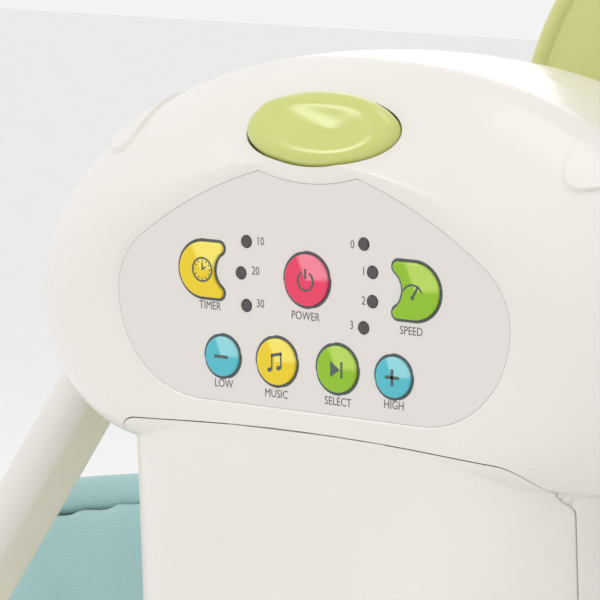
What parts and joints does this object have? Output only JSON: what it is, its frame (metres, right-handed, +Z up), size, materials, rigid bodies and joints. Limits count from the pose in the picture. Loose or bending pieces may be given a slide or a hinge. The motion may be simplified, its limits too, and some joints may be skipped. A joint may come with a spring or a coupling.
{
  "type": "baby swing",
  "caption": "Battery baby swing: a padded bucket seat hangs from two round hubs on folding U-shaped legs; keys, lamps, release button and battery door sit on one hub.",
  "frame": {"origin": "on the floor, midway between the two hubs and midway between the front and rear feet", "axes": "+X towards the control hub's face, -Y the way the seat faces, +Z up"},
  "size_m": [0.713, 0.744, 0.768],
  "materials": {
    "shell_white": "glossy warm white moulding",
    "panel_film": "satin printed film",
    "button_green": "glossy light green moulding",
    "key_red": "clear-coated key",
    "key_yellow": "clear-coated key",
    "key_green": "clear-coated key",
    "key_blue": "clear-coated key",
    "lens_dark": "smoked lamp lens",
    "board_green": "circuit board",
    "switch_black": "switch body",
    "inner_grey": "nylon moulding",
    "steel": "bright steel",
    "copper": "enamelled winding",
    "cell_wrap": "plain cell sleeve",
    "frame_white": "powder coated steel tube",
    "foot_white": "moulded foot",
    "pad_rubber": "soft rubber",
    "seat_green": "light green moulding",
    "seat_fabric": "teal woven cloth",
    "pillow_fabric": "light green woven cloth",
    "strap_web": "grey webbing",
    "buckle_grey": "buckle moulding",
    "buckle_red": "release key of the buckle"
  },
  "bodies": {
    "hubs": {"hub_front_shell": "shell_white", "hub_back_shell": "shell_white", "far_front_shell": "shell_white", "far_back_shell": "shell_white", "label_panel": "panel_film", "far_panel": "panel_film", "control_board": "board_green", "key_switches": "switch_black", "led_lenses": "lens_dark", "hub_screws": "steel", "battery_tray": "shell_white", "battery_cells": "cell_wrap", "battery_contacts": "steel", "speaker": "switch_black", "shaft_bushes": "inner_grey", "drive_bobbin": "inner_grey", "drive_winding": "copper", "drive_core": "steel", "leg_pivot_pins": "steel", "shoulder_caps": "shell_white"},
    "battery_door": {"battery_door": "shell_white"},
    "key_power": {"key_power": "key_red"},
    "key_timer": {"key_timer": "key_yellow"},
    "key_speed": {"key_speed": "key_green"},
    "key_low": {"key_low": "key_blue"},
    "key_high": {"key_high": "key_blue"},
    "key_music": {"key_music": "key_yellow"},
    "key_select": {"key_select": "key_green"},
    "release_button": {"release_button": "button_green"},
    "far_release_button": {"far_release_button": "button_green"},
    "latch_bar": {"latch_bar": "inner_grey"},
    "far_latch_bar": {"far_latch_bar": "inner_grey"},
    "front_frame": {"front_leg": "frame_white", "front_far_leg": "frame_white", "front_knuckles": "inner_grey", "front_feet": "foot_white", "front_foot_pads": "pad_rubber", "front_floor_tube": "frame_white"},
    "rear_frame": {"rear_leg": "frame_white", "rear_far_leg": "frame_white", "rear_knuckles": "inner_grey", "rear_feet": "foot_white", "rear_foot_pads": "pad_rubber", "rear_floor_tube": "frame_white"},
    "swing": {"swing_arm": "frame_white", "far_swing_arm": "frame_white", "swing_shafts": "steel", "drive_lever": "inner_grey", "drive_magnet": "steel", "recline_pins": "steel"},
    "seat": {"seat_shell": "seat_green", "back_pad": "seat_fabric", "seat_pad": "seat_fabric", "side_skirts": "seat_fabric", "head_pillow": "pillow_fabric", "harness_straps": "strap_web", "harness_buckle": "buckle_grey"},
    "buckle_button": {"buckle_button": "buckle_red"},
    "recline_lever": {"recline_lever": "button_green"}
  },
  "joints": [
    {"name": "battery_door_pull", "type": "slide", "parent": "hubs", "child": "battery_door", "axis": [1, 0, 0], "range_m": [0, 0.04]},
    {"name": "key_power_press", "type": "slide", "parent": "hubs", "child": "key_power", "axis": [-1, 0, 0], "range_m": [0, 0.0004], "stiffness_N_per_m": 3500},
    {"name": "key_timer_press", "type": "slide", "parent": "hubs", "child": "key_timer", "axis": [-1, 0, 0], "range_m": [0, 0.0004], "stiffness_N_per_m": 3500},
    {"name": "key_speed_press", "type": "slide", "parent": "hubs", "child": "key_speed", "axis": [-1, 0, 0], "range_m": [0, 0.0004], "stiffness_N_per_m": 3500},
    {"name": "key_low_press", "type": "slide", "parent": "hubs", "child": "key_low", "axis": [-1, 0, 0], "range_m": [0, 0.0004], "stiffness_N_per_m": 3500},
    {"name": "key_high_press", "type": "slide", "parent": "hubs", "child": "key_high", "axis": [-1, 0, 0], "range_m": [0, 0.0004], "stiffness_N_per_m": 3500},
    {"name": "key_music_press", "type": "slide", "parent": "hubs", "child": "key_music", "axis": [-1, 0, 0], "range_m": [0, 0.0004], "stiffness_N_per_m": 3500},
    {"name": "key_select_press", "type": "slide", "parent": "hubs", "child": "key_select", "axis": [-1, 0, 0], "range_m": [0, 0.0004], "stiffness_N_per_m": 3500},
    {"name": "release_press", "type": "slide", "parent": "hubs", "child": "release_button", "axis": [-0.829, 0, -0.5592], "range_m": [0, 0.005], "stiffness_N_per_m": 1500, "springref_m": -0.002},
    {"name": "far_release_press", "type": "slide", "parent": "hubs", "child": "far_release_button", "axis": [0.829, 0, -0.5592], "range_m": [0, 0.005], "stiffness_N_per_m": 1500, "springref_m": -0.002},
    {"name": "latch_slide", "type": "slide", "parent": "hubs", "child": "latch_bar", "axis": [-1, 0, 0], "range_m": [0, 0.004]},
    {"name": "far_latch_slide", "type": "slide", "parent": "hubs", "child": "far_latch_bar", "axis": [1, 0, 0], "range_m": [0, 0.004]},
    {"name": "front_fold", "type": "hinge", "parent": "hubs", "child": "front_frame", "pos_m": [0, -0.082, 0.594], "axis": [1, 0, 0], "range_deg": [0, 22]},
    {"name": "rear_fold", "type": "hinge", "parent": "hubs", "child": "rear_frame", "pos_m": [0, 0.082, 0.594], "axis": [-1, 0, 0], "range_deg": [0, 22]},
    {"name": "swing", "type": "hinge", "parent": "hubs", "child": "swing", "pos_m": [0, 0, 0.59], "axis": [1, 0, 0], "range_deg": [-18, 18]},
    {"name": "seat_recline", "type": "hinge", "parent": "swing", "child": "seat", "pos_m": [0, 0, 0.47], "axis": [-1, 0, 0], "range_deg": [0, 12]},
    {"name": "recline_lever_pull", "type": "hinge", "parent": "seat", "child": "recline_lever", "pos_m": [0, 0.10682, 0.54742], "axis": [1, 0, 0], "range_deg": [0, 15], "stiffness_Nm_per_rad": 0.8, "springref_deg": -11.46},
    {"name": "buckle_press", "type": "slide", "parent": "seat", "child": "buckle_button", "axis": [0, -0.2079, -0.9781], "range_m": [0, 0.003], "stiffness_N_per_m": 1500, "springref_m": -0.001}
  ],
  "couplings": [
    {"joint": "latch_slide", "follows": "release_press", "ratio": 0.8},
    {"joint": "far_latch_slide", "follows": "far_release_press", "ratio": 0.8}
  ]
}
